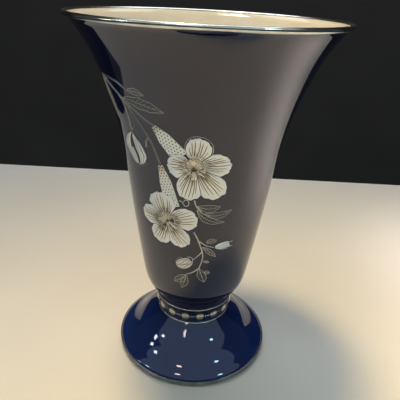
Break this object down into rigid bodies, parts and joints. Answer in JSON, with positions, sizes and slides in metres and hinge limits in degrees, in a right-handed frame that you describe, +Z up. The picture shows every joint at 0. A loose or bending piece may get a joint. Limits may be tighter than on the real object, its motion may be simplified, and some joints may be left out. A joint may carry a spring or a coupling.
{
  "type": "pedestal vase",
  "caption": "Trumpet-shaped porcelain vase on a hollow pedestal foot, cobalt glazed, with silver lip, beaded collar, foot band and an engraved silver flower spray.",
  "frame": {"origin": "centre of the resting ring on the surface that the vase stands on", "axes": "+Z up along the axis, -Y to the decorated front, +X to the right of the front"},
  "size_m": [0.166, 0.166, 0.24],
  "materials": {
    "porcelain": "glossy cream-white glaze, bare on the foot ring",
    "cobalt_glaze": "deep glossy cobalt blue",
    "slip": "fired slip",
    "polished_silver": "polished, lightly toned",
    "satin_silver": "satin white silver with engraved veins and dots",
    "line_silver": "thin engraved line work, toned"
  },
  "bodies": {
    "root": {"trumpet_body": "porcelain", "pedestal_foot": "porcelain", "body_glaze": "cobalt_glaze", "foot_glaze": "cobalt_glaze", "slip_seam": "slip", "lip_band": "polished_silver", "collar_upper_rail": "polished_silver", "collar_lower_rail": "polished_silver", "collar_beads": "polished_silver", "collar_bead_links": "polished_silver", "foot_band": "polished_silver", "upper_blossom_petals": "satin_silver", "upper_blossom_heart": "satin_silver", "upper_blossom_tube": "satin_silver", "lower_blossom_petals": "satin_silver", "lower_blossom_heart": "satin_silver", "lower_blossom_tube": "satin_silver", "hanging_bud": "satin_silver", "round_bud": "satin_silver", "side_bud": "satin_silver", "main_stems": "line_silver", "edge_leaf": "line_silver", "upper_leaves": "line_silver", "middle_stem": "line_silver", "middle_leaves": "line_silver", "sprig_stems": "line_silver", "sprig_leaves": "line_silver", "scroll": "line_silver"}
  },
  "joints": []
}
